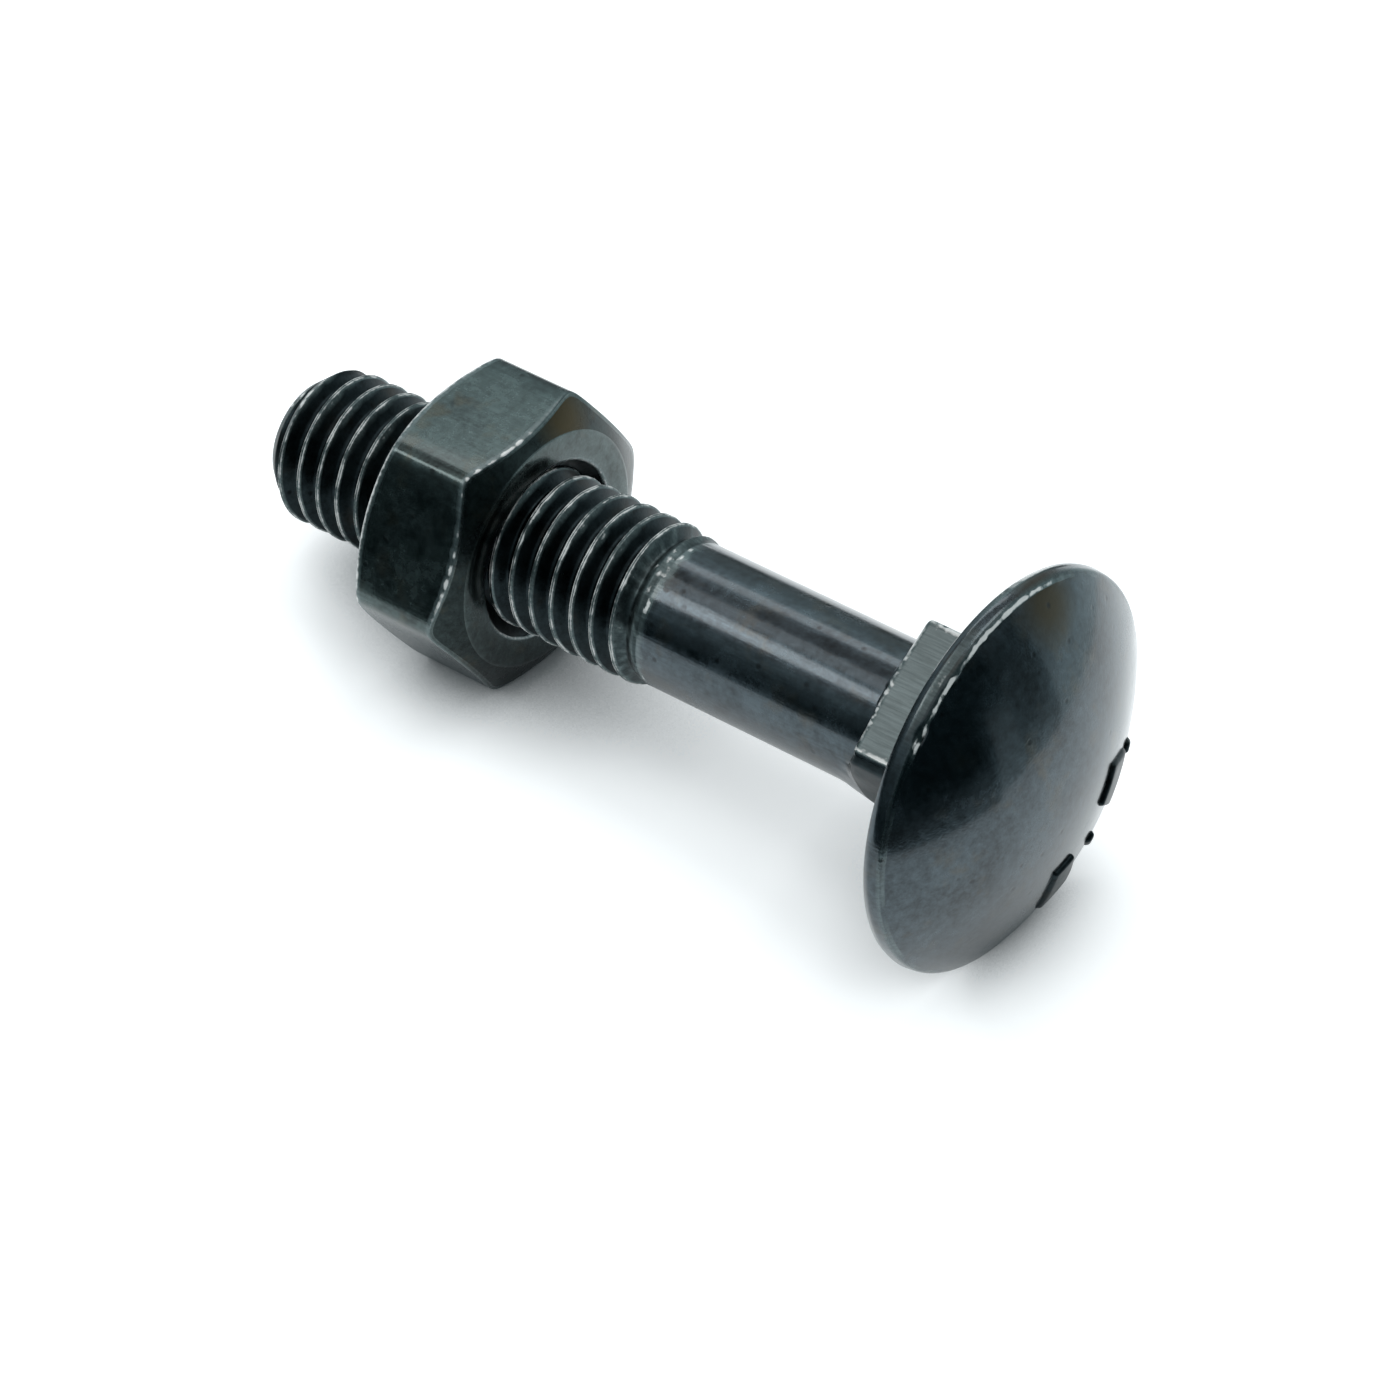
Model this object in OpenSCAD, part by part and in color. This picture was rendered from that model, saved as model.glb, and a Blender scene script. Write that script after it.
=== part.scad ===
// Carriage bolt with a hexagon nut run part of the way on, lying on a flat floor.
// Row frame: +X from the threaded end toward the head, Z up, millimetres.
// Inside each piece the bolt's axis is Z, from the head's underside toward the threaded end.

/* [Head] */
// Head diameter at its widest
head_d = 24.65; // [22.5:0.05:27]
// Thickness of the rim band under the dome
rim_h = 1.1; // [0.8:0.05:1.6]
// Rise of the dome above the rim band
dome_h = 3.8; // [3:0.05:4.6]
// How much smaller in radius the band's lower edge is
rim_lower_in = 0.175; // [0.05:0.005:0.4]
// How much smaller in radius the band's upper edge is
rim_upper_in = 0.125; // [0.05:0.005:0.4]

/* [Raised marks on the dome] */
// Inner radius of the ring in which the marks stand
mark_in_r = 5.6; // [4.5:0.1:7]
// Outer radius of that ring
mark_out_r = 9.6; // [8.5:0.1:11]
// Height of a mark above the dome
mark_h = 0.25; // [0.15:0.01:0.4]
// Turn of the first mark about the bolt's axis
mark_turn = 290; // [270:0.5:310]

/* [Square neck] */
// Width across the neck's flats
neck_side = 9.5; // [9.3:0.05:10.6]
// Length of the neck from the head's underside
neck_len = 6; // [5:0.1:7]
// Width across the neck's rounded corners
neck_corner_d = 13.2; // [12.2:0.05:13.3]
// Length over which the corners are turned down at the neck's end
neck_lead = 0.7; // [0.4:0.05:1.4]
// How much the corners are turned down in radius there
neck_corner_in = 0.85; // [0.5:0.05:1.2]
// Turn of the neck about the bolt's axis
neck_turn = 158.2; // [150:0.1:170]

/* [Shank] */
// Shank diameter, equal to the thread's pitch diameter
shank_d = 9.03; // [8.8:0.01:9.2]
// Length of the bolt under the head
bolt_len = 51; // [46:0.1:56]

/* [Thread] */
// Diameter over the thread's crests
thread_d = 9.85; // [9.7:0.01:10]
// Thread pitch
pitch = 1.5; // [1.4:0.01:1.6]
// Depth from crest to root
thread_depth = 0.845; // [0.7:0.005:0.92]
// Start of the run-out, from the head's underside
thread_start = 22.2; // [18:0.1:28]
// Length of the run-out
runout = 1.6; // [0.8:0.05:2.4]
// Step down from the shank where the run-out starts
thread_set_in = 0.12; // [0.1:0.01:0.25]
// How far the run-out's root reaches into the shank
thread_root = 0.6; // [0.3:0.05:1]
// Diameter of the flat tip
tip_d = 7.2; // [6.6:0.05:7.8]
// Length of the tapered tip
tip_len = 1.6; // [1:0.05:2.4]
// Turn of the thread about the bolt's axis
thread_turn = -79; // [-180:1:180]

/* [Nut] */
// Width across the nut's flats
nut_af = 16.9; // [16.4:0.05:17]
// Height of the nut
nut_h = 7.9; // [7.2:0.05:8.4]
// Near face of the nut, from the head's underside
nut_at = 32.5; // [31:0.1:34]
// Diameter of the round face left by the chamfer
nut_face_d = 14.86; // [14:0.02:16]
// Chamfer angle
nut_chamfer = 30; // [20:0.5:35]
// Running clearance between the thread's crests and the bore, a side
bore_gap = 0.08; // [0.04:0.01:0.1]
// Diameter of the countersink at each face
nut_sink_d = 11.4; // [10.6:0.05:11.8]

/* [Hidden] */
head_r = head_d / 2;
rim_mid = rim_h * 0.45;
rim_lower_r = head_r - rim_lower_in;
rim_upper_r = head_r - rim_upper_in;
dome_r = (rim_upper_r * rim_upper_r + dome_h * dome_h) / (2 * dome_h);
dome_at = dome_r - rim_h - dome_h;
shank_r = shank_d / 2;
crest_r = thread_d / 2;
tip_r = tip_d / 2;
neck_corner_r = neck_corner_d / 2;
bore_r = crest_r + bore_gap;
nut_r = nut_af / 2;
nut_face_r = nut_face_d / 2;
nut_corner_r = nut_r / cos(30);
nut_edge = (nut_r - nut_face_r) * tan(nut_chamfer);
nut_corner_h = (nut_corner_r - nut_face_r) * tan(nut_chamfer);
sink_r = nut_sink_d / 2;
sink_h = sink_r - bore_r;
lean = atan((head_r - nut_r) / (nut_at + nut_h - nut_edge + rim_mid));
x_low = -bolt_len * cos(lean) - tip_r * sin(lean);
x_high = dome_r - dome_at * cos(lean);
x_head = -(x_low + x_high) / 2;
z_head = head_r * cos(lean) - rim_mid * sin(lean);
// For each mark: where it starts and how far it sweeps in degrees, and the shares of the ring's
// width at which its inner and outer sides lie
mark_spans = [[0, 27, 0, 0.62], [1, 6, 0.8, 1], [38, 6, 0.58, 0.9], [56, 18, 0.1, 1]];
// How far a cut runs past the face it starts from
cut_over = 0.01;
// Slots round one turn, points on one pitch, and the thread's breakpoints as shares of a pitch
slots = 30;
flank = thread_depth * tan(30) / pitch;
crest_half = (1 - 2 * flank) * 0.18;
breaks = [-crest_half, crest_half, crest_half + flank, 1 - crest_half - flank];
high = [1, 1, 0, 0];
per_turn = len(breaks);

steel = [0.22, 0.25, 0.25];

// Turns a piece drawn along Z to where it lies on the floor
module lying() {
    translate([x_head, 0, z_head])
        rotate([0, -(90 + lean), 0])
            rotate([0, 0, 180])
                children();
}

// Thread: rows of points up each slot, one row for each breakpoint of the profile
first_row = -per_turn * 2;
rows = per_turn * (ceil((bolt_len - thread_start) / pitch) + 4);
thread_from = thread_start - thread_root;
start_r = shank_r - thread_set_in;
function at(i, j) = thread_start + pitch * (
    breaks[(j + 400 * per_turn) % per_turn] + floor(j / per_turn)
    + i / slots + thread_turn / 360);
function plain(j) = high[(j + 400 * per_turn) % per_turn] * thread_depth + crest_r - thread_depth;
function fade(u) = min(1, max(0, (u - thread_start) / runout));
function cut(u) = tip_r + (bolt_len - u) * (crest_r - tip_r + cut_over) / tip_len;
function reach(u, j) = min(cut(u),
    start_r * (1 - fade(u)) + plain(j) * fade(u));
function held(u) = min(bolt_len, max(thread_from, u));
function spot(i, j) = let (u = held(at(i, j)), r = reach(u, j), t = 360 * i / slots)
    [r * cos(t), r * sin(t), u];
function low_ring(i) = [start_r * cos(360 * i / slots),
    start_r * sin(360 * i / slots), thread_from];
function top_ring(i) = [tip_r * cos(360 * i / slots), tip_r * sin(360 * i / slots), bolt_len];
function index(i, j) = let (k = i % slots, m = i >= slots ? j + per_turn : j, u = at(k, m))
    u <= thread_from + cut_over ? k
    : u >= bolt_len - cut_over ? slots + k
    : 2 * slots + k * rows + m - first_row;

thread_points = concat(
    [for (i = [0 : slots - 1]) low_ring(i)],
    [for (i = [0 : slots - 1]) top_ring(i)],
    [for (i = [0 : slots - 1]) for (j = [0 : rows - 1]) spot(i, j + first_row)]);
thread_faces = concat(
    [[for (i = [0 : slots - 1]) i]],
    [[for (i = [slots - 1 : -1 : 0]) slots + i]],
    [for (i = [0 : slots - 1]) for (j = [first_row : first_row + rows - per_turn - 2])
        let (a = index(i, j), b = index(i + 1, j), c = index(i + 1, j + 1), d = index(i, j + 1))
        for (f = [[a, c, b], [a, d, c]])
            if (f[0] != f[1] && f[1] != f[2] && f[2] != f[0]) f]);

module thread() {
    polyhedron(points = thread_points, faces = thread_faces, convexity = 10);
}

// Head: rim band of two shallow cones and a dome cut from a ball
module head() {
    translate([0, 0, -rim_mid])
        cylinder(h = rim_mid, r1 = head_r, r2 = rim_lower_r, $fn = 120);
    translate([0, 0, -rim_h])
        cylinder(h = rim_h - rim_mid, r1 = rim_upper_r, r2 = head_r, $fn = 120);
    intersection() {
        translate([0, 0, dome_at])
            sphere(r = dome_r, $fn = 160);
        translate([0, 0, -rim_h - 2 * dome_h])
            cylinder(h = 2 * dome_h, r = head_r + rim_h, $fn = 120);
    }
}

// Marks: plain raised pads on the dome, their tops level with a ball a little larger than the dome's
module marks() {
    intersection() {
        translate([0, 0, dome_at])
            sphere(r = dome_r + mark_h, $fn = 160);
        for (span = mark_spans)
            rotate([0, 0, mark_turn + span[0]])
                translate([0, 0, -rim_h - dome_h])
                    rotate_extrude(angle = span[1], $fn = 160)
                        translate([mark_in_r + span[2] * (mark_out_r - mark_in_r), 0])
                            square([(span[3] - span[2]) * (mark_out_r - mark_in_r), dome_h + rim_h / 2]);
    }
}

// Neck: square bar with its corners turned round, and turned down where it meets the shank
module neck() {
    intersection() {
        rotate([0, 0, neck_turn])
            translate([-neck_side / 2, -neck_side / 2, -rim_h / 2])
                cube([neck_side, neck_side, neck_len + rim_h / 2]);
        union() {
            translate([0, 0, -rim_h / 2])
                cylinder(h = neck_len - neck_lead + rim_h / 2, r = neck_corner_r, $fn = 96);
            translate([0, 0, neck_len - neck_lead])
                cylinder(h = neck_lead, r1 = neck_corner_r, r2 = neck_corner_r - neck_corner_in, $fn = 96);
        }
    }
}

module bolt() {
    color(steel)
        lying() {
            head();
            marks();
            neck();
            translate([0, 0, -rim_h / 2])
                cylinder(h = thread_start + rim_h / 2, r = shank_r, $fn = 96);
            thread();
        }
}

module hex_nut() {
    color(steel)
        lying()
            translate([0, 0, nut_at])
                difference() {
                    intersection() {
                        rotate([0, 0, 30])
                            cylinder(h = nut_h, r = nut_corner_r, $fn = 6);
                        union() {
                            cylinder(h = nut_corner_h, r1 = nut_face_r, r2 = nut_corner_r, $fn = 96);
                            translate([0, 0, nut_corner_h])
                                cylinder(h = nut_h - 2 * nut_corner_h, r = nut_corner_r, $fn = 96);
                            translate([0, 0, nut_h - nut_corner_h])
                                cylinder(h = nut_corner_h, r1 = nut_corner_r, r2 = nut_face_r, $fn = 96);
                        }
                    }
                    translate([0, 0, -sink_h])
                        cylinder(h = nut_h + 2 * sink_h, r = bore_r, $fn = 96);
                    translate([0, 0, -cut_over])
                        cylinder(h = sink_h + cut_over, r1 = sink_r + cut_over, r2 = bore_r, $fn = 96);
                    translate([0, 0, nut_h - sink_h])
                        cylinder(h = sink_h + cut_over, r1 = bore_r, r2 = sink_r + cut_over, $fn = 96);
                }
}

bolt();
hex_nut();
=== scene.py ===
import math

import bpy
import numpy as np
from mathutils import Matrix, Vector, noise


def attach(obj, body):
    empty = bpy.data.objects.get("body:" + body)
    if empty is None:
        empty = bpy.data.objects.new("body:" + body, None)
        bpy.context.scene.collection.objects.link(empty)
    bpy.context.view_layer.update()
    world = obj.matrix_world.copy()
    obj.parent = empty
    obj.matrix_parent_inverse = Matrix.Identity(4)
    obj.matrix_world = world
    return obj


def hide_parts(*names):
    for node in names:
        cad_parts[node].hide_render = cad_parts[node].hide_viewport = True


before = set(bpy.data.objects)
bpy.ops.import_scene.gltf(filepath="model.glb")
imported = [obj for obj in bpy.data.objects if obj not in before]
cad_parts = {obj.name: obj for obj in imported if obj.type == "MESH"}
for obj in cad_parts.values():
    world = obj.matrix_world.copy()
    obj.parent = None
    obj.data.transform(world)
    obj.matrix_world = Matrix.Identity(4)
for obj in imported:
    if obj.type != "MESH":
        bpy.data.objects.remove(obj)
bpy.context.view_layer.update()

# Camera
# Long lens that looks down at the bolt from beyond its head, so that the thread runs away to the
# upper left.
camera_place = Vector((0.137612, -0.169847, 0.239362))
camera_right = Vector((0.78556, 0.61876, -0.00596))
camera_up = Vector((-0.45180, 0.58011, 0.67775))
camera_ahead = Vector((-0.42282, 0.52972, -0.73527))
camera_lens_mm = 140.76
camera_data = bpy.data.cameras.new("camera")
camera_data.lens = camera_lens_mm
camera_data.sensor_width = 36.0
camera_data.clip_start = 0.01
camera_data.clip_end = 10.0
camera = bpy.data.objects.new("camera", camera_data)
turn = Matrix((camera_right, camera_up, -camera_ahead)).transposed().to_4x4()
camera.matrix_world = Matrix.Translation(camera_place) @ turn
bpy.context.scene.collection.objects.link(camera)
bpy.context.scene.camera = camera
bpy.context.scene.view_settings.view_transform = "Standard"

# Floor
# White paper sheet on a table. It takes the bolt's soft shadow, and painted shadow darkens its
# colour right under the pieces, where little of the room is open above it. Polished metal mirrors it a
# little darker, with more of that painted shadow.
floor_half = 1.5
floor_white = (0.95, 0.96, 0.97, 1.0)
floor_painted_shadow = (0.24, 0.27, 0.285, 1.0)
# How far round a spot of the paper its openness is measured, in metres, and between which shares of
# openness its painted shadow goes from the hidden grey to white
hidden_reach = 0.013
hidden_from = 0.20
hidden_until = 0.74
# Light added to the open paper, seen straight on and in polished metal, which sees it less open too,
# so that more painted shadow shows in reflections
lift_level = 0.42
mirrored_lift = 0.35
mirrored_shadow_shift = -0.11


def link_piece(name, mesh, material):
    """Puts a mesh into the scene as an object of that name."""
    piece = bpy.data.objects.new(name, mesh)
    bpy.context.scene.collection.objects.link(piece)
    mesh.materials.append(material)
    return piece


def node_sheet(material):
    """Clears a material or world and gives back its nodes and links."""
    material.use_nodes = True
    tree = material.node_tree
    tree.nodes.clear()
    return tree.nodes, tree.links


def seen_or_mirrored(nodes, links):
    """1 for what the camera sees straight on, in a mirror or through glass, and 0 for the rest."""
    path = nodes.new("ShaderNodeLightPath")
    either = nodes.new("ShaderNodeMath")
    either.operation = "MAXIMUM"
    links.new(path.outputs["Is Camera Ray"], either.inputs[0])
    links.new(path.outputs["Is Glossy Ray"], either.inputs[1])
    all_three = nodes.new("ShaderNodeMath")
    all_three.operation = "MAXIMUM"
    links.new(either.outputs[0], all_three.inputs[0])
    links.new(path.outputs["Is Transmission Ray"], all_three.inputs[1])
    return all_three.outputs[0]


paper = bpy.data.materials.new("white_paper")
nodes, links = node_sheet(paper)
paper_out = nodes.new("ShaderNodeOutputMaterial")
paper_face = nodes.new("ShaderNodeBsdfDiffuse")
paper_lift = nodes.new("ShaderNodeEmission")
paper_lift.inputs["Color"].default_value = (1.0, 1.0, 1.0, 1.0)
paper_lift_strength = nodes.new("ShaderNodeMath")
paper_lift_strength.operation = "MULTIPLY"
links.new(seen_or_mirrored(nodes, links), paper_lift_strength.inputs[0])
paper_open = nodes.new("ShaderNodeAmbientOcclusion")
paper_open.samples = 8
paper_open.inputs["Distance"].default_value = hidden_reach
paper_open_share = nodes.new("ShaderNodeMapRange")
paper_open_share.interpolation_type = "SMOOTHSTEP"
paper_open_share.inputs["From Min"].default_value = hidden_from
paper_open_share.inputs["From Max"].default_value = hidden_until
paper_path = nodes.new("ShaderNodeLightPath")
paper_shift = nodes.new("ShaderNodeMath")
paper_shift.operation = "MULTIPLY_ADD"
paper_shift.inputs[1].default_value = mirrored_shadow_shift
links.new(paper_path.outputs["Is Glossy Ray"], paper_shift.inputs[0])
links.new(paper_open.outputs["AO"], paper_shift.inputs[2])
links.new(paper_shift.outputs[0], paper_open_share.inputs["Value"])
# Painted shadow: the paper's colour goes to dark grey where it is less open
paper_shadow_paint = nodes.new("ShaderNodeMix")
paper_shadow_paint.data_type = "RGBA"
paper_shadow_paint.inputs[6].default_value = floor_painted_shadow
paper_shadow_paint.inputs[7].default_value = floor_white
links.new(paper_open_share.outputs[0], paper_shadow_paint.inputs[0])
links.new(paper_shadow_paint.outputs[2], paper_face.inputs["Color"])
# The added light fades with the same openness, which deepens the painted shadow
paper_lift_open = nodes.new("ShaderNodeMath")
paper_lift_open.operation = "MULTIPLY"
paper_lift_level = nodes.new("ShaderNodeMapRange")
paper_lift_level.inputs["To Min"].default_value = lift_level
paper_lift_level.inputs["To Max"].default_value = mirrored_lift
links.new(paper_path.outputs["Is Glossy Ray"], paper_lift_level.inputs["Value"])
links.new(paper_lift_level.outputs[0], paper_lift_open.inputs[1])
links.new(paper_open_share.outputs[0], paper_lift_open.inputs[0])
links.new(paper_lift_open.outputs[0], paper_lift_strength.inputs[1])
links.new(paper_lift_strength.outputs[0], paper_lift.inputs["Strength"])
paper_sum = nodes.new("ShaderNodeAddShader")
links.new(paper_face.outputs[0], paper_sum.inputs[0])
links.new(paper_lift.outputs[0], paper_sum.inputs[1])
links.new(paper_sum.outputs[0], paper_out.inputs["Surface"])

floor_mesh = bpy.data.meshes.new("floor")
floor_mesh.from_pydata(
    [(-floor_half, -floor_half, 0), (floor_half, -floor_half, 0),
     (floor_half, floor_half, 0), (-floor_half, floor_half, 0)], [], [(0, 1, 2, 3)])
floor = link_piece("floor", floor_mesh, paper)

# Studio light
# Cool even light from all round, a window box high behind the bolt to the right, a wide box low
# behind it and two small boxes to the left. Polished metal mirrors a dim ceiling around them.
surround_level = 0.80
ceiling_level = 0.42
lamp_power = 4.0
world = bpy.data.worlds.new("studio")
bpy.context.scene.world = world
nodes, links = node_sheet(world)
world_out = nodes.new("ShaderNodeOutputWorld")
world_light = nodes.new("ShaderNodeBackground")
world_light.inputs["Color"].default_value = (0.90, 0.98, 1.0, 1.0)
world_light.inputs["Strength"].default_value = surround_level
world_seen = nodes.new("ShaderNodeBackground")
world_seen.inputs["Color"].default_value = (1.0, 1.0, 1.0, 1.0)
world_path = nodes.new("ShaderNodeLightPath")
world_level = nodes.new("ShaderNodeMapRange")
world_level.inputs["To Min"].default_value = 1.0
world_level.inputs["To Max"].default_value = ceiling_level
links.new(world_path.outputs["Is Glossy Ray"], world_level.inputs["Value"])
links.new(world_level.outputs[0], world_seen.inputs["Strength"])
world_mix = nodes.new("ShaderNodeMixShader")
links.new(seen_or_mirrored(nodes, links), world_mix.inputs[0])
links.new(world_light.outputs[0], world_mix.inputs[1])
links.new(world_seen.outputs[0], world_mix.inputs[2])
links.new(world_mix.outputs[0], world_out.inputs["Surface"])


def soft_box(name, azimuth, elevation, distance, width, height, brightness):
    """Area lamp facing the bolt. Brightness is how much whiter than paper it looks."""
    lamp = bpy.data.lights.new(name, "AREA")
    lamp.shape = "RECTANGLE"
    lamp.size = width
    lamp.size_y = height
    lamp.energy = brightness * width * height * lamp_power
    a, e = math.radians(azimuth), math.radians(elevation)
    toward = Vector((math.cos(a) * math.cos(e), math.sin(a) * math.cos(e), math.sin(e)))
    stand = bpy.data.objects.new(name, lamp)
    stand.location = toward * distance
    stand.rotation_mode = "QUATERNION"
    stand.rotation_quaternion = toward.to_track_quat("Z", "Y")
    bpy.context.scene.collection.objects.link(stand)


soft_box("window_box", azimuth=84, elevation=66, distance=0.7, width=0.34, height=0.30, brightness=1.6)
soft_box("top_box", azimuth=186, elevation=58, distance=0.6, width=0.16, height=0.10, brightness=1.1)
soft_box("key_box", azimuth=212, elevation=48, distance=0.6, width=0.16, height=0.12, brightness=3.6)
soft_box("back_box", azimuth=134, elevation=41, distance=0.6, width=0.34, height=0.13, brightness=1.9)

# Glowing reflection panels
# Glowing sheets that stand for black cloth in front of the bolt and to its right, and grey boards to
# the right and behind it, all below the lamps. Only polished metal shows them, as painted reflections:
# dark bands and lighter bands graded by height.
reflection_middle = (-0.020, 0.0)
reflection_top = 0.085
panel_step = 5
shade_tint = (0.82, 0.965, 1.0)
shade_least = (0.0, 0.016, 0.020)


def reflection_panel(name, from_azimuth, to_azimuth, reflection_radius, shades):
    """Upright glowing arc that paints a reflection. Shades are pairs of a share of the height and a
    grey level.
    """
    sweep = to_azimuth - from_azimuth
    steps = max(2, int(sweep / panel_step))
    turns = [math.radians(from_azimuth + sweep * k / steps) for k in range(steps + 1)]
    middle_x, middle_y = reflection_middle
    points = [(middle_x + math.cos(t) * reflection_radius, middle_y + math.sin(t) * reflection_radius, z)
              for z in (0.0, reflection_top) for t in turns]
    mesh = bpy.data.meshes.new(name)
    mesh.from_pydata(points, [], [(k, k + 1, steps + k + 2, steps + k + 1) for k in range(steps)])
    panel_glow = bpy.data.materials.new(name)
    nodes, links = node_sheet(panel_glow)
    out = nodes.new("ShaderNodeOutputMaterial")
    # The arc glows at its grey levels though it is no lamp: a painted reflection
    glow = nodes.new("ShaderNodeEmission")
    place = nodes.new("ShaderNodeTexCoord")
    split = nodes.new("ShaderNodeSeparateXYZ")
    height = nodes.new("ShaderNodeMath")
    height.operation = "DIVIDE"
    height.inputs[1].default_value = reflection_top
    tone = nodes.new("ShaderNodeValToRGB")
    links.new(place.outputs["Object"], split.inputs[0])
    links.new(split.outputs["Z"], height.inputs[0])
    links.new(height.outputs[0], tone.inputs["Fac"])
    links.new(tone.outputs["Color"], glow.inputs["Color"])
    links.new(glow.outputs[0], out.inputs["Surface"])
    elements = tone.color_ramp.elements
    for k, (share, level) in enumerate(shades):
        element = elements[k] if k < 2 else elements.new(share)
        element.position = share
        shade = tuple(level * tint + least for tint, least in zip(shade_tint, shade_least))
        element.color = shade + (1.0,)
    panel = link_piece(name, mesh, panel_glow)
    panel.visible_camera = False
    panel.visible_diffuse = False
    panel.visible_shadow = False
    panel.visible_transmission = False


reflection_panel("black_glow_sheet_front", 170, 320, 0.080,
              [(0.0, 0.02), (0.24, 0.03), (0.30, 0.10), (0.40, 0.15), (0.64, 0.25), (0.74, 0.5),
               (1.0, 0.42)])
reflection_panel("black_glow_sheet_right", -40, 4, 0.081,
              [(0.0, 0.16), (0.06, 0.14), (0.12, 0.03), (0.5, 0.03), (0.8, 0.08), (1.0, 0.30)])
reflection_panel("dim_glow_sheet_right", 4, 10, 0.086,
              [(0.0, 0.65), (0.12, 0.6), (0.22, 0.42), (0.28, 0.04), (0.7, 0.06), (1.0, 0.30)])
reflection_panel("dim_glow_board_right", 10, 21, 0.088,
              [(0.0, 0.75), (0.06, 0.5), (0.12, 0.26), (0.25, 0.20), (0.36, 0.10), (0.50, 0.34),
               (1.0, 0.5)])
reflection_panel("grey_glow_board_right", 21, 80, 0.088,
              [(0.0, 1.0), (0.12, 1.0), (0.20, 0.72), (0.34, 0.45), (1.0, 0.6)])
reflection_panel("grey_glow_board_back", 80, 170, 0.080,
              [(0.0, 0.10), (0.13, 0.10), (0.24, 0.36), (0.55, 0.55), (0.66, 0.8), (1.0, 0.9)])

# Bolt
# Steel wire, headed and squared in one die, its thread rolled on the reduced shank, then black
# oxidised. It lies on the head's rim and on the nut, so its axis rises toward the head.
mm = 0.001
head_r = 12.325
rim_h = 1.1
rim_mid = rim_h * 0.45
rim_lower_r = 12.15
rim_upper_r = 12.2
dome_h = 3.8
dome_r = (rim_upper_r ** 2 + dome_h ** 2) / (2 * dome_h)
dome_at = dome_r - rim_h - dome_h
mark_in_r = 5.6
mark_out_r = 9.6
mark_h = 0.25
mark_foot = 0.2
mark_turn = 290
mark_spans = [(0, 27, 0, 0.62), (1, 6, 0.8, 1), (38, 6, 0.58, 0.9), (56, 18, 0.1, 1)]
neck_half = 4.75
neck_len = 6.0
neck_corner_r = 6.6
neck_lead = 0.55
neck_turn = math.radians(158.2)
neck_end_slope = 0.45
neck_unfilled_at = math.radians(135)
neck_unfilled_len = 2.85
neck_unfilled_lead = 4.6
neck_blunt_at = 113.2
neck_blunt_in = 0.26
# Turn and reach of the neck's flat over the floor, which is kept dark as painted shade
neck_shaded_flat_at = 68
neck_shaded_flat_span = 50
shank_r = 4.515
bolt_len = 51.0
crest_r = 4.925
pitch = 1.5
thread_depth = 0.845
thread_start = 22.2
thread_turn = -79.0
runout = 1.6
tip_r = 3.6
tip_len = 1.6
tip_dish = 0.34
nut_r = 8.45
nut_h = 7.9
nut_at = 32.5
nut_face_r = 7.43
nut_chamfer = math.radians(30)
nut_edge = (nut_r - nut_face_r) * math.tan(nut_chamfer)
lean = math.atan((head_r - nut_r) / (nut_at + nut_h - nut_edge + rim_mid))
x_low = -bolt_len * math.cos(lean) - tip_r * math.sin(lean)
x_high = dome_r - dome_at * math.cos(lean)
axis_down = Vector((math.sin(lean), 0, -math.cos(lean)))
axis_side = Vector((0, -1, 0))
axis_out = Vector((-math.cos(lean), 0, -math.sin(lean)))
lying = Matrix((axis_down, axis_side, axis_out)).transposed().to_4x4()
lying.translation = Vector((-(x_low + x_high) / 2, 0,
                            head_r * math.cos(lean) - rim_mid * math.sin(lean))) * mm
# Points round the bolt, and the least gap between a thread row and the ring that ends the thread
columns = 240
row_gap = 0.03
# Material slots of the faces that aren't smooth oxide; the thread's slot also paints shade on the
# neck's flat over the floor
thread_and_shaded_flat_finish = 1
chamfer_finish = 2


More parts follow.
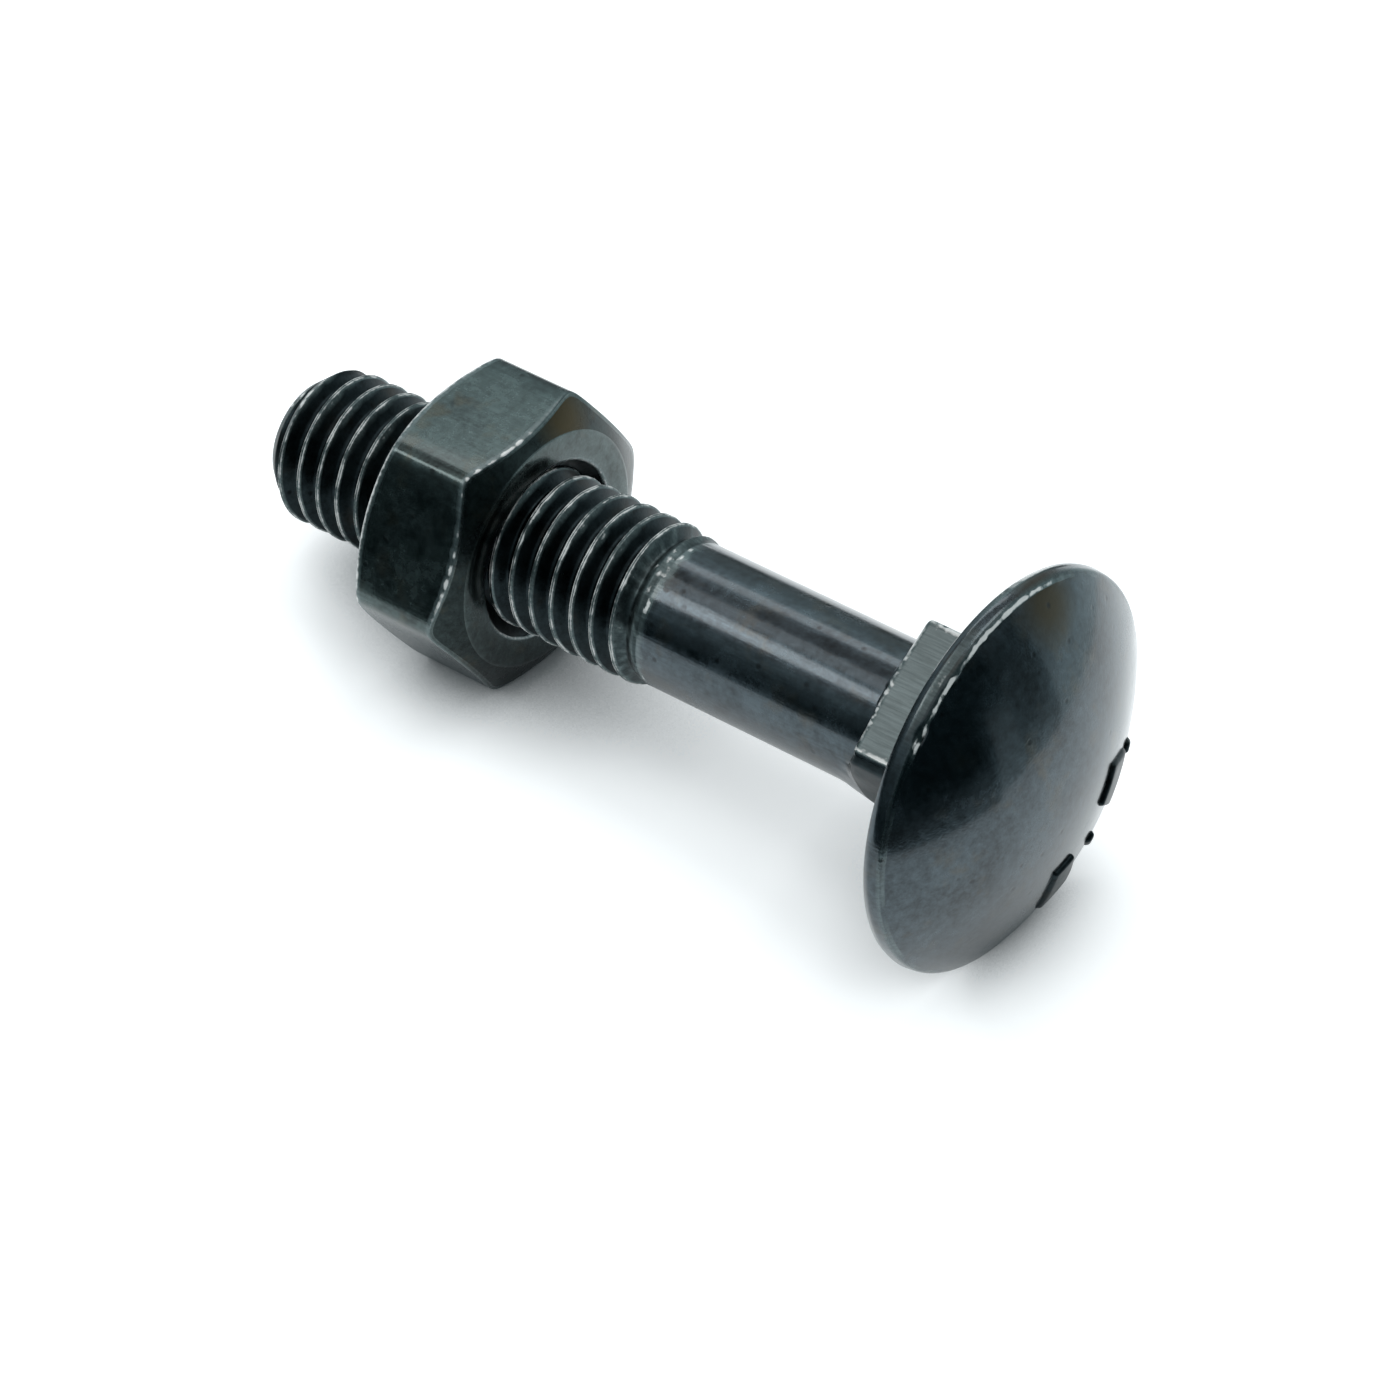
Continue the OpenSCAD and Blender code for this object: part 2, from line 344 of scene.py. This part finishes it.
class Skin:
    """Closed surface built from rings of points round the axis, with a wear value at each point."""

    def __init__(self, angles):
        self.angles = angles
        self.points, self.wear, self.faces, self.finishes = [], [], [], []
        self.finish = 0

    def face(self, loop):
        self.faces.append(tuple(loop))
        self.finishes.append(self.finish)

    def ring(self, radius, height, wear=0.0):
        """Adds a ring. Radius, height and wear are numbers or functions of the angle."""
        first = len(self.points)
        for t in self.angles:
            r = radius(t) if callable(radius) else radius
            z = height(t) if callable(height) else height
            self.points.append((r * math.cos(t), r * math.sin(t), z))
            self.wear.append(wear(t) if callable(wear) else wear)
        return list(range(first, len(self.points)))

    def join(self, lower, upper):
        count = len(lower)
        for i in range(count):
            k = (i + 1) % count
            self.face((lower[i], lower[k], upper[k], upper[i]))

    def close(self, edge, height, facing_up):
        """Fan from a ring to one point on the axis."""
        middle = len(self.points)
        self.points.append((0.0, 0.0, height))
        self.wear.append(0.0)
        count = len(edge)
        for i in range(count):
            k = (i + 1) % count
            self.face((edge[i], edge[k], middle) if facing_up else (edge[k], edge[i], middle))

    def helix(self, lower, upper, low, high, phases, reach, inward=False):
        """Thread surface between two rings: rows of points that climb one pitch each turn."""
        count, per_turn = len(self.angles), len(phases)
        first = int(math.floor((low - pitch * 2) / pitch)) * per_turn
        last = int(math.ceil((high + pitch * 2) / pitch)) * per_turn
        made = {}

        def spot(i, j):
            if i == count:
                i, j = 0, j + per_turn
            z = pitch * (j // per_turn + phases[j % per_turn] + self.angles[i] / (2 * math.pi))
            if z <= low + row_gap:
                return lower[i]
            if z >= high - row_gap:
                return upper[i]
            if (i, j) not in made:
                t = self.angles[i]
                r, wear = reach(t, z, j % per_turn)
                made[(i, j)] = len(self.points)
                self.points.append((r * math.cos(t), r * math.sin(t), z))
                self.wear.append(wear)
            return made[(i, j)]

        for i in range(count):
            for j in range(first, last):
                loop = []
                for corner in (spot(i, j), spot(i + 1, j), spot(i + 1, j + 1), spot(i, j + 1)):
                    if corner not in loop:
                        loop.append(corner)
                if len(loop) > 2:
                    self.face(reversed(loop) if inward else loop)

    def mesh(self, name, place):
        """Mesh laid in its place. It keeps the wear and each point's own place in millimetres."""
        made = bpy.data.meshes.new(name)
        made.from_pydata([place @ (Vector(p) * mm) for p in self.points], [], self.faces)
        marks = made.attributes.new("wear", "FLOAT", "POINT")
        marks.data.foreach_set("value", np.array(self.wear, np.float32))
        own = made.attributes.new("own_place", "FLOAT_VECTOR", "POINT")
        own.data.foreach_set("vector", np.array(self.points, np.float32).ravel())
        made.polygons.foreach_set("use_smooth", [True] * len(made.polygons))
        made.polygons.foreach_set("material_index", self.finishes)
        made.update()
        return made


def ripple(t, scale, seed):
    """Smooth random value from about -1 to 1 that goes round with the angle."""
    return noise.noise(Vector((math.cos(t) * scale, math.sin(t) * scale, seed)))


def near_turn(t, middle, width):
    """1 at that angle in degrees, fading to 0 over that width in degrees on either side."""
    away = abs((math.degrees(t) - middle + 180) % 360 - 180)
    return max(0.0, 1 - away / width)


def neck_reach(t, u):
    """Radius of the square neck. The die was not quite filled at one corner, which tapers off."""
    side = (t - neck_turn + math.pi / 4) % (math.pi / 2) - math.pi / 4
    flat = neck_half / math.cos(side)
    soft = 0.05
    corner_r = neck_corner_r - neck_blunt_in * min(1.0, 3 * near_turn(t, neck_blunt_at, 15))
    gap = flat - corner_r
    square = 0.5 * (flat + corner_r - math.sqrt(gap * gap + soft * soft))
    unfilled = max(0.0, math.cos(t - neck_turn + neck_unfilled_at))
    end = neck_len + neck_end_slope * math.sin(t - neck_turn) + neck_unfilled_len * unfilled
    lead = neck_lead + neck_unfilled_lead * unfilled * unfilled
    roundness = 3.0 - 1.9 * unfilled
    share = min(1.0, max(0.0, (end - u) / lead))
    return shank_r + (square - shank_r) * (1 - (1 - share) ** roundness) ** (1 / roundness)


def neck_wear(t, u):
    """The neck's flats are lighter, partly rubbed in the die and partly painted light, its corners and
    end edge rubbed to bare steel. The flat that lies nearest the floor stays dark, painted shade."""
    side = (t - neck_turn + math.pi / 4) % (math.pi / 2) - math.pi / 4
    proud = neck_reach(t, u) - shank_r
    if proud < 0.12 or u < 0.2:
        return 0.0
    # Painted shade on the flat over the floor
    painted_shade_side = near_turn(t, neck_shaded_flat_at, neck_shaded_flat_span) > 0.03
    corner = min(1.0, max(0.0, (abs(math.degrees(side)) - 41.5) / 2.0))
    if near_turn(t, neck_blunt_at, 8) > 0:
        corner = 1.2 * near_turn(t, neck_blunt_at + 4.6, 2.4)
    end = max(0.0, 1 - abs(neck_len + neck_end_slope * math.sin(t - neck_turn) - 0.2 - u) / 0.3)
    edge = 0.62 * max(corner, end) * (0.75 + 1.2 * ripple(t, 26, u * 3))
    return (0.05 if painted_shade_side else 0.5) + (0.3 * edge if painted_shade_side else edge)


def runout_wear(t, u):
    """Where the rolling dies began, scuffed bright in patches round the shank."""
    scuff = noise.noise(Vector((math.cos(t) * 9, math.sin(t) * 9, u * 2.6)))
    return 0.30 + 0.35 * near_turn(t, 160, 70) + 1.3 * max(0.0, scuff)


neck_corner = neck_turn + math.pi / 4
bolt_skin = Skin([neck_corner + 2 * math.pi * i / columns for i in range(columns)])

# Rows of the dome, from its rim to the middle
dome_rows = [11.88, 11.7] + [11.5 - 0.3 * k for k in range(39)]


def dome_height(r):
    return dome_at - math.sqrt(dome_r * dome_r - r * r)


# Where the rim's upper edge is torn and nicked, in degrees round the axis
rim_torn_at = 172
rim_torn_span = 42
rim_nick_at = 140.5
rim_nick_span = 2.6
rim_nick_depth = 0.22


def rim_wear(t):
    """The trimming die left the upper edge of the rim bright, most of all at one place."""
    torn = min(1.0, 1.8 * near_turn(t, rim_torn_at, rim_torn_span) + 1.2 * near_turn(t, 138.5, 5))
    return 0.2 + 0.3 * ripple(t, 9, 3.1) + torn * (1.0 + 0.8 * ripple(t, 30, 5.7))


def rim_tear(t, seed):
    """Small steps along that edge."""
    torn = min(1.0, 0.2 + 2 * near_turn(t, rim_torn_at, rim_torn_span))
    return 0.11 * ripple(t, 38, seed) * torn


def rim_nick(t):
    return rim_nick_depth * near_turn(t, rim_nick_at, rim_nick_span)


def band_wear(t, u):
    """Rubbed places on the rim band: one on its lower edge, one near its widest line and above."""
    if u > -0.4:
        return 1.2 * near_turn(t, 200, 28)
    return 0.1 + 0.6 * near_turn(t, 155, 20)


# Rows of the rim band as radius and height, and rows up the neck to where it fades into the shank
rim_rows = [(rim_lower_r, 0.0), (12.20, -0.06), (12.30, -0.35), (head_r, -rim_mid), (12.30, -0.66),
            (12.27, -0.88)]
neck_rows = [0.0, 0.5, 1.5, 2.5, 3.5, 4.2, 4.7] + [4.9 + 0.1 * k for k in range(17)]
neck_rows += [6.7, 7.1, 7.5, 8, 8.5]

# Rings from the dome's middle out over the rim, in over the seat, along the neck and the shank
rings = []
for r in reversed(dome_rows):
    rings.append(bolt_skin.ring(r, dome_height(r)))
bolt_skin.close(rings[0], dome_height(0.0), False)
for r, share in ((11.90, 0.3), (11.95, 0.9), (12.0, 1.0), (12.06, 1.0), (12.12, 0.7)):
    rings.append(bolt_skin.ring(lambda t: r - rim_nick(t),
                                lambda t: dome_height(r) - share * rim_tear(t, r * 3),
                                lambda t: share * rim_wear(t)))
rings.append(bolt_skin.ring(lambda t: rim_upper_r - rim_nick(t), -1.08,
                            lambda t: 0.3 + 0.7 * near_turn(t, 138, 4)))
rings.append(bolt_skin.ring(lambda t: 12.25 - 0.6 * rim_nick(t), -0.97, 0.2))
for r, u in reversed(rim_rows):
    rings.append(bolt_skin.ring(r, u, lambda t: band_wear(t, u)))
for r in (11.5, 10.0, 8.5, 7.2):
    rings.append(bolt_skin.ring(r, 0.0))
for u in neck_rows:
    rings.append(bolt_skin.ring(lambda t: neck_reach(t, u), u, lambda t: neck_wear(t, u)))
for u in (9.5, 12, 14, 16, 18, 20, 21.4):
    rings.append(bolt_skin.ring(shank_r, u))
for u, worn_and_sheen in ((21.8, 0.3), (22.05, 1.0), (thread_start, 0.9)):
    rings.append(bolt_skin.ring(lambda t: shank_r - 0.03 * max(0.0, ripple(t, 12, u)), u,
                                lambda t: worn_and_sheen * runout_wear(t, u)))
for low_ring, high_ring in zip(rings, rings[1:]):
    bolt_skin.join(low_ring, high_ring)
# The neck's flat over the floor gets the thread's dark, rough material, painted shade
for n, loop in enumerate(bolt_skin.faces):
    x, y, u = bolt_skin.points[loop[0]]
    if 0.1 < u < 6.3 and math.hypot(x, y) < 7 and 0.1 < near_turn(math.atan2(y, x), 72, 47):
        bolt_skin.finishes[n] = thread_and_shaded_flat_finish

# Thread form over one pitch: share of the pitch, share of the depth, wear
thread_form = [(-0.082, 0.92, 0.7), (-0.047, 1.0, 1.0), (0.0, 0.93, 0.5), (0.047, 1.0, 1.0),
               (0.082, 0.92, 0.7), (0.13, 0.80, 0.1), (0.25, 0.46, 0.0), (0.385, 0.10, 0.0),
               (0.44, 0.02, 0.0), (0.5, 0.0, 0.0), (0.56, 0.02, 0.0), (0.615, 0.10, 0.0),
               (0.75, 0.46, 0.0), (0.87, 0.80, 0.1)]
thread_phase = thread_start / pitch + thread_turn / 360
root_r = crest_r - thread_depth
# Where the crests' sides carry a painted highlight and the tapered end is rubbed bright, in degrees
# round the axis
crest_painted_highlight_at = 170
crest_painted_highlight_span = 34
tip_rubbed_at = 168
tip_rubbed_span = 40
# Middle of the scuffed run-out from where the thread starts, and its reach to either side
scuff_middle = 0.8
scuff_reach = 1.9
chip_depth = 0.06


def thread_reach(t, u, k):
    """Radius and wear of the thread, which grows out of the shank and is cut off by the taper."""
    share, high, wear = thread_form[k]
    rolled = min(1.0, max(0.0, (u - thread_start) / runout))
    full = root_r + high * thread_depth
    taper = tip_r + (bolt_len - u) * (crest_r - tip_r) / tip_len
    r = shank_r * (1 - rolled) + full * rolled
    if high > 0.9:
        chip = noise.noise(Vector((math.cos(t) * 4.5, math.sin(t) * 4.5, u * 2.2)))
        r -= chip_depth * max(0.0, chip) * rolled
        wear = wear * (0.98 + 0.5 * chip)
    elif high > 0.7:
        # Painted highlight on the crests' sides
        brightened = 0.7 * near_turn(t, crest_painted_highlight_at, crest_painted_highlight_span)
        wear += brightened * (0.6 + 0.9 * ripple(t, 6, u * 2.5))
    scuffed = max(0.0, 1 - abs(u - thread_start - scuff_middle) / scuff_reach) * runout_wear(t, u)
    scuffed = scuffed * (0.5 + 0.5 * high)
    if taper < r:
        brightened = near_turn(t, tip_rubbed_at, tip_rubbed_span) * (0.8 + 0.9 * ripple(t, 8, u * 2.5))
        return taper, 0.3 * wear + 1.1 * brightened
    return r, max(scuffed, wear * rolled)


tip_ring = bolt_skin.ring(tip_r, bolt_len)
bolt_skin.finish = thread_and_shaded_flat_finish
bolt_skin.helix(rings[-1], tip_ring, thread_start, bolt_len,
                [thread_phase % 1 + share for share, high, wear in thread_form], thread_reach)
tip_rings = [tip_ring]
for r, dip in ((3.45, 0.03), (2.6, 0.25), (1.6, 0.32), (0.8, tip_dish)):
    tip_rings.append(bolt_skin.ring(r, bolt_len - dip))
for low_ring, high_ring in zip(tip_rings, tip_rings[1:]):
    bolt_skin.join(low_ring, high_ring)
bolt_skin.close(tip_rings[-1], bolt_len - tip_dish, True)


def add_pad(skin, start, sweep, inner, outer):
    """Pad that stands on the dome with rounded sides, its foot sunk in the dome."""
    half_t = math.radians(sweep) / 2
    mid_t = math.radians(mark_turn + start) + half_t
    low_r = mark_in_r + inner * (mark_out_r - mark_in_r)
    half_r = (outer - inner) * (mark_out_r - mark_in_r) / 2
    mid_r = low_r + half_r
    half_l = half_t * mid_r
    soft = 0.3
    step = 0.35
    edge_steps = [0.0, 0.1, 0.25, 0.5, 0.75, 1.0]

    def stations(half):
        inside = max(1, int((2 * half - 2 * soft) / step))
        left = [-half + soft * k for k in edge_steps]
        middle = [-half + soft + (2 * half - 2 * soft) * k / inside for k in range(1, inside)]
        return left + middle + [-d for d in reversed(left)]

    along, across = stations(half_l), stations(half_r)
    rows, cols = len(along), len(across)
    first = len(skin.points)
    for raised in (True, False):
        for a in along:
            for c in across:
                in_a = min(soft, half_l - abs(a)) / soft
                in_c = min(soft, half_r - abs(c)) / soft
                inset = max(0.0, 1 - math.hypot(1 - in_a, 1 - in_c))
                rise = math.sqrt(1 - (1 - inset) ** 2) if raised else -1.0
                r, t = mid_r + c, mid_t + a / mid_r
                ball = dome_r - mark_foot + (mark_h + mark_foot) * rise
                height = dome_at - math.sqrt(ball * ball - r * r)
                skin.points.append((r * math.cos(t), r * math.sin(t), height))
                skin.wear.append(0.0)
    under = first + rows * cols
    for i in range(rows - 1):
        for k in range(cols - 1):
            corner = i * cols + k
            loop = (corner, corner + 1, corner + cols + 1, corner + cols)
            skin.face(first + n for n in loop)
            skin.face(under + n for n in reversed(loop))
    border = list(range(cols)) + [i * cols + cols - 1 for i in range(1, rows)]
    border += [(rows - 1) * cols + k for k in range(cols - 2, -1, -1)]
    border += [i * cols for i in range(rows - 2, 0, -1)]
    for n, m in zip(border, border[1:] + border[:1]):
        skin.face((first + m, first + n, under + n, under + m))


for mark_span in mark_spans:
    add_pad(bolt_skin, *mark_span)
bolt_mesh = bolt_skin.mesh("carriage_bolt", lying)


def fractal(nodes, links, vector, scale, detail, roughness=0.5):
    """Noise texture on the piece's own coordinates."""
    made = nodes.new("ShaderNodeTexNoise")
    made.inputs["Scale"].default_value = scale
    made.inputs["Detail"].default_value = detail
    made.inputs["Roughness"].default_value = roughness
    links.new(vector, made.inputs["Vector"])
    return made.outputs["Fac"]


def reckon(nodes, links, operation, a, b):
    """Math node on two sockets or numbers."""
    made = nodes.new("ShaderNodeMath")
    made.operation = operation
    for socket, value in zip(made.inputs, (a, b)):
        if isinstance(value, (int, float)):
            socket.default_value = value
        else:
            links.new(value, socket)
    return made.outputs[0]


def stretch(nodes, links, value, from_low, from_high, to_low=0.0, to_high=1.0):
    """Maps a range of values onto another, held at its ends."""
    made = nodes.new("ShaderNodeMapRange")
    made.inputs["From Min"].default_value = from_low
    made.inputs["From Max"].default_value = from_high
    made.inputs["To Min"].default_value = to_low
    made.inputs["To Max"].default_value = to_high
    links.new(value, made.inputs["Value"])
    return made.outputs[0]


def blend_colors(nodes, links, share, a, b):
    """Mix of two colours, each a socket or a fixed colour."""
    made = nodes.new("ShaderNodeMix")
    made.data_type = "RGBA"
    links.new(share, made.inputs[0])
    for socket, value in ((made.inputs[6], a), (made.inputs[7], b)):
        if isinstance(value, tuple):
            socket.default_value = value + (1.0,)
        else:
            links.new(value, socket)
    return made.outputs[2]


warm_brown = (0.052, 0.040, 0.020)
warm_inner = 0.8
warm_outer = 2.8
cloud_share = 0.4
mottle_share = 0.45
drawn_share = 0.15
darkest = 0.52
palest = 1.5
speck_darkness = 0.25
# Colours of rubbed oxide and bare steel, which also paint highlights on the nut's crease and the
# thread's crests and light on the neck's flats
rubbed_and_sheen_dark = (0.095, 0.126, 0.128)
rubbed_and_sheen_pale = (0.143, 0.184, 0.188)
bare_steel_and_highlight = (0.60, 0.61, 0.60)


def black_oxide(name, oxide, brown, roughness, oil, warm_place=None):
    """Black oxide on steel: a thin dark skin, browner in places, oiled, that shows brighter steel
    where it has rubbed off and where the wear marks carry painted highlights and painted light. The
    drawn wire leaves fine lines along the axis."""
    made = bpy.data.materials.new(name)
    nodes, links = node_sheet(made)
    out = nodes.new("ShaderNodeOutputMaterial")
    metal = nodes.new("ShaderNodeBsdfPrincipled")
    metal.inputs["Coat Weight"].default_value = oil
    metal.inputs["Coat Roughness"].default_value = 0.10
    metal.inputs["Coat IOR"].default_value = 1.45
    place = nodes.new("ShaderNodeAttribute")
    place.attribute_name = "own_place"
    own = place.outputs["Vector"]
    along = nodes.new("ShaderNodeVectorMath")
    along.operation = "MULTIPLY"
    along.inputs[1].default_value = (1.0, 1.0, 0.07)
    links.new(own, along.inputs[0])
    clouds = fractal(nodes, links, own, scale=0.26, detail=5.0)
    mottle = fractal(nodes, links, own, scale=1.9, detail=6.0, roughness=0.65)
    drawn = fractal(nodes, links, along.outputs[0], scale=6.5, detail=3.0)
    tarnish = fractal(nodes, links, own, scale=0.42, detail=4.0, roughness=0.6)
    patches = fractal(nodes, links, own, scale=2.6, detail=4.0, roughness=0.6)
    grain = fractal(nodes, links, own, scale=7.0, detail=3.0)

    depth = reckon(nodes, links, "ADD", reckon(nodes, links, "MULTIPLY", clouds, cloud_share),
                   reckon(nodes, links, "ADD", reckon(nodes, links, "MULTIPLY", mottle, mottle_share),
                          reckon(nodes, links, "MULTIPLY", drawn, drawn_share)))
    dark = tuple(c * darkest for c in oxide)
    pale = tuple(c * palest for c in oxide)
    skin_color = blend_colors(nodes, links, stretch(nodes, links, depth, 0.39, 0.61), dark, pale)
    tarnished = stretch(nodes, links, tarnish, 0.56, 0.70, 0.0, 0.45)
    skin_color = blend_colors(nodes, links, tarnished, skin_color, brown)
    if warm_place is not None:
        warm = nodes.new("ShaderNodeVectorMath")
        warm.operation = "DISTANCE"
        warm.inputs[1].default_value = warm_place
        links.new(own, warm.inputs[0])
        warmed = stretch(nodes, links, warm.outputs["Value"], warm_inner, warm_outer, 1.0, 0.0)
        skin_color = blend_colors(nodes, links, warmed, skin_color, warm_brown)
    specks = nodes.new("ShaderNodeTexVoronoi")
    specks.inputs["Scale"].default_value = 0.55
    links.new(own, specks.inputs["Vector"])
    speck = stretch(nodes, links, specks.outputs["Distance"], 0.05, 0.12, 0.8, 0.0)
    speck_color = tuple(c * speck_darkness for c in oxide)
    skin_color = blend_colors(nodes, links, speck, skin_color, speck_color)

    # The wear marks hold real wear and also painted highlights and painted light
    worn_and_sheen = nodes.new("ShaderNodeAttribute")
    worn_and_sheen.attribute_name = "wear"
    brightened = stretch(nodes, links, worn_and_sheen.outputs["Fac"], 0.1, 0.5)
    streaks = stretch(nodes, links, drawn, 0.35, 0.65)
    rubbed_and_sheen_color = blend_colors(nodes, links, streaks, rubbed_and_sheen_dark, rubbed_and_sheen_pale)
    skin_color = blend_colors(nodes, links, brightened, skin_color, rubbed_and_sheen_color)
    patchy_wear = reckon(nodes, links, "ADD", worn_and_sheen.outputs["Fac"], patches)
    bare_and_highlight = stretch(nodes, links, patchy_wear, 1.20, 1.50)
    color = blend_colors(nodes, links, bare_and_highlight, skin_color, bare_steel_and_highlight)
    links.new(color, metal.inputs["Base Color"])
    links.new(stretch(nodes, links, bare_and_highlight, 0.0, 1.0, 1.0, 0.25), metal.inputs["Metallic"])

    cloudy = stretch(nodes, links, clouds, 0.3, 0.7, roughness * 0.7, roughness * 1.3)
    mottled = stretch(nodes, links, mottle, 0.3, 0.7, -0.03, 0.04)
    scuffed = reckon(nodes, links, "MULTIPLY", brightened, 0.14)
    rough = reckon(nodes, links, "ADD", cloudy, reckon(nodes, links, "ADD", mottled, scuffed))
    links.new(rough, metal.inputs["Roughness"])

    ridged = reckon(nodes, links, "MULTIPLY", drawn, reckon(nodes, links, "ADD", brightened, 0.5))
    height = reckon(nodes, links, "ADD", reckon(nodes, links, "MULTIPLY", grain, 0.5),
                    reckon(nodes, links, "ADD", ridged,
                           reckon(nodes, links, "MULTIPLY", speck, -1.2)))
    bump = nodes.new("ShaderNodeBump")
    bump.inputs["Strength"].default_value = 0.25
    bump.inputs["Distance"].default_value = 0.00004
    links.new(height, bump.inputs["Height"])
    links.new(bump.outputs[0], metal.inputs["Normal"])
    links.new(metal.outputs[0], out.inputs["Surface"])
    return made


bolt_steel = black_oxide(
    "bolt_black_oxide", oxide=(0.041, 0.056, 0.065), brown=(0.075, 0.066, 0.048),
    roughness=0.22, oil=0.6, warm_place=(-10.8, -3.3, -1.8))
# Dark oxide of the thread and bore, which is also painted shade on the neck's flat over the floor
thread_and_shaded_flat_steel = black_oxide(
    "thread_and_shaded_flat_black_oxide", oxide=(0.018, 0.026, 0.029), brown=(0.030, 0.026, 0.020),
    roughness=0.36, oil=0.0)
bolt = link_piece("carriage_bolt", bolt_mesh, bolt_steel)
bolt_mesh.materials.append(thread_and_shaded_flat_steel)
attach(bolt, "bolt")
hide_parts("bolt")

# Nut
# Cold formed hexagon nut of steel, both faces chamfered, its bore countersunk and tapped, then black
# oxidised. It is screwed part of the way onto the bolt and rests on one of its flats.
nut_sink_r = 5.7
nut_minor_r = 4.25
nut_face_mid_r = 6.6
bore_end = 0.08
chamfer_band = 5
thread_gap = 0.04
corner_steps = [0.4, 0.8, 1.2, 1.8, 2.6, 4.0, 6.0, 9.0, 12.0, 15.0, 18.0, 21.0, 24.0, 27.0, 30.0]
nut_angles = sorted(
    math.radians(30 + 60 * k + side * step) % (2 * math.pi)
    for k in range(6) for side in (-1, 1) for step in corner_steps
    if not (side == -1 and step == 30.0))
nut_angles = sorted(set(round(t, 9) for t in nut_angles) | set(
    round(math.radians(30 + 60 * k), 9) for k in range(6)))
corner_sharpness = 26.0
# Corners whose crease is chipped: turn in degrees, reach and share
chipped_corners = [(166, 34, 1.0), (112, 26, 0.9)]


def hexagon(t):
    """Radius of the hexagon with slightly rounded corners."""
    total = sum(max(0.0, math.cos(t - math.pi * k / 3)) ** corner_sharpness for k in range(6))
    return nut_r / total ** (1.0 / corner_sharpness)


nut_skin = Skin(nut_angles)
slope = math.tan(nut_chamfer)


def on_chamfer(r):
    return (r - nut_face_r) * slope


def crease_height(t, inset, rise):
    """Height of a row by the crease: on the chamfer itself, or that far above the crease."""
    if rise < -0.08:
        return on_chamfer(hexagon(t) + inset)
    return on_chamfer(hexagon(t)) + rise


def edge_wear(t, chipped):
    """Wear along the crease between the chamfer and the flats, with chips near two of its corners. Its
    even bright line, strongest on the unchipped crease, is a painted highlight on the rounded edge.
    """
    # The unchipped crease is an even bright line, a painted highlight
    if not chipped:
        return 0.95 + 0.3 * ripple(t, 8, 2.2)
    chips = max(share * near_turn(t, at, reach) for at, reach, share in chipped_corners)
    return 0.36 + 0.3 * ripple(t, 8, 2.2) + min(1.0, 1.4 * chips) * (0.55 + ripple(t, 34, 8.4))


# Rows of the two faces as radius, height and wear, and rows over the crease as inset, rise and share
# of the wear
near_face_rows = [
    (nut_sink_r - 0.1, bore_end, 0.7), (nut_sink_r, 0.0, 0.75), (nut_sink_r + 0.12, 0.0, 0.2),
    (nut_face_mid_r, 0.0, 0.0), (nut_face_r - 0.1, 0.0, 0.1),
    (nut_face_r + 0.1, on_chamfer(nut_face_r + 0.1), 0.1)]
crease_rows = [
    (-0.26, -0.10, 0.0), (-0.12, -0.10, 0.4), (-0.03, -0.045, 1.0), (-0.005, 0.03, 1.0),
    (0.0, 0.14, 0.7), (0.0, 0.4, 0.0)]
far_face_rows = [
    (nut_face_r + 0.1, nut_h - on_chamfer(nut_face_r + 0.1), 0.0), (nut_face_r - 0.1, nut_h, 0.0),
    (nut_face_mid_r, nut_h, 0.0), (nut_sink_r, nut_h, 0.4), (nut_sink_r - 0.1, nut_h - bore_end, 0.3)]
nut_rings = []
for r, u, wear in near_face_rows:
    nut_rings.append(nut_skin.ring(r, u, wear))
for inset, rise, share in crease_rows:
    nut_rings.append(nut_skin.ring(lambda t: hexagon(t) + inset,
                                   lambda t: crease_height(t, inset, rise),
                                   lambda t: share * edge_wear(t, True)))
for inset, rise, share in reversed(crease_rows):
    nut_rings.append(nut_skin.ring(lambda t: hexagon(t) + inset,
                                   lambda t: nut_h - crease_height(t, inset, rise),
                                   lambda t: share * edge_wear(t, False)))
for r, u, wear in far_face_rows:
    nut_rings.append(nut_skin.ring(r, u, wear))
for n, (low_ring, high_ring) in enumerate(zip(nut_rings, nut_rings[1:])):
    nut_skin.finish = chamfer_finish if n == chamfer_band else 0
    nut_skin.join(low_ring, high_ring)


def nut_thread_reach(t, u, k):
    """Radius of the tapped bore: the bolt's thread form a little wider, and the countersinks."""
    share, high, wear = thread_form[k]
    tapped = max(nut_minor_r, root_r + high * thread_depth + thread_gap)
    sunk = nut_sink_r - min(u, nut_h - u)
    return max(tapped, sunk), 0.0


nut_skin.finish = thread_and_shaded_flat_finish
nut_thread_phase = (thread_phase - nut_at / pitch) % 1
nut_skin.helix(nut_rings[0], nut_rings[-1], bore_end, nut_h - bore_end,
               [nut_thread_phase + share for share, high, wear in thread_form],
               nut_thread_reach, inward=True)
nut_mesh = nut_skin.mesh("hexagon_nut", lying @ Matrix.Translation((0, 0, nut_at * mm)))
nut_steel = black_oxide(
    "nut_black_oxide", oxide=(0.052, 0.073, 0.072), brown=(0.080, 0.070, 0.045),
    roughness=0.24, oil=0.5)
chamfer_steel = black_oxide(
    "chamfer_black_oxide", oxide=(0.023, 0.033, 0.033), brown=(0.060, 0.052, 0.032),
    roughness=0.30, oil=0.1, warm_place=(-7.7, -3.3, 0.6))
nut = link_piece("hexagon_nut", nut_mesh, nut_steel)
nut_mesh.materials.append(thread_and_shaded_flat_steel)
nut_mesh.materials.append(chamfer_steel)
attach(nut, "nut")
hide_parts("hex_nut")
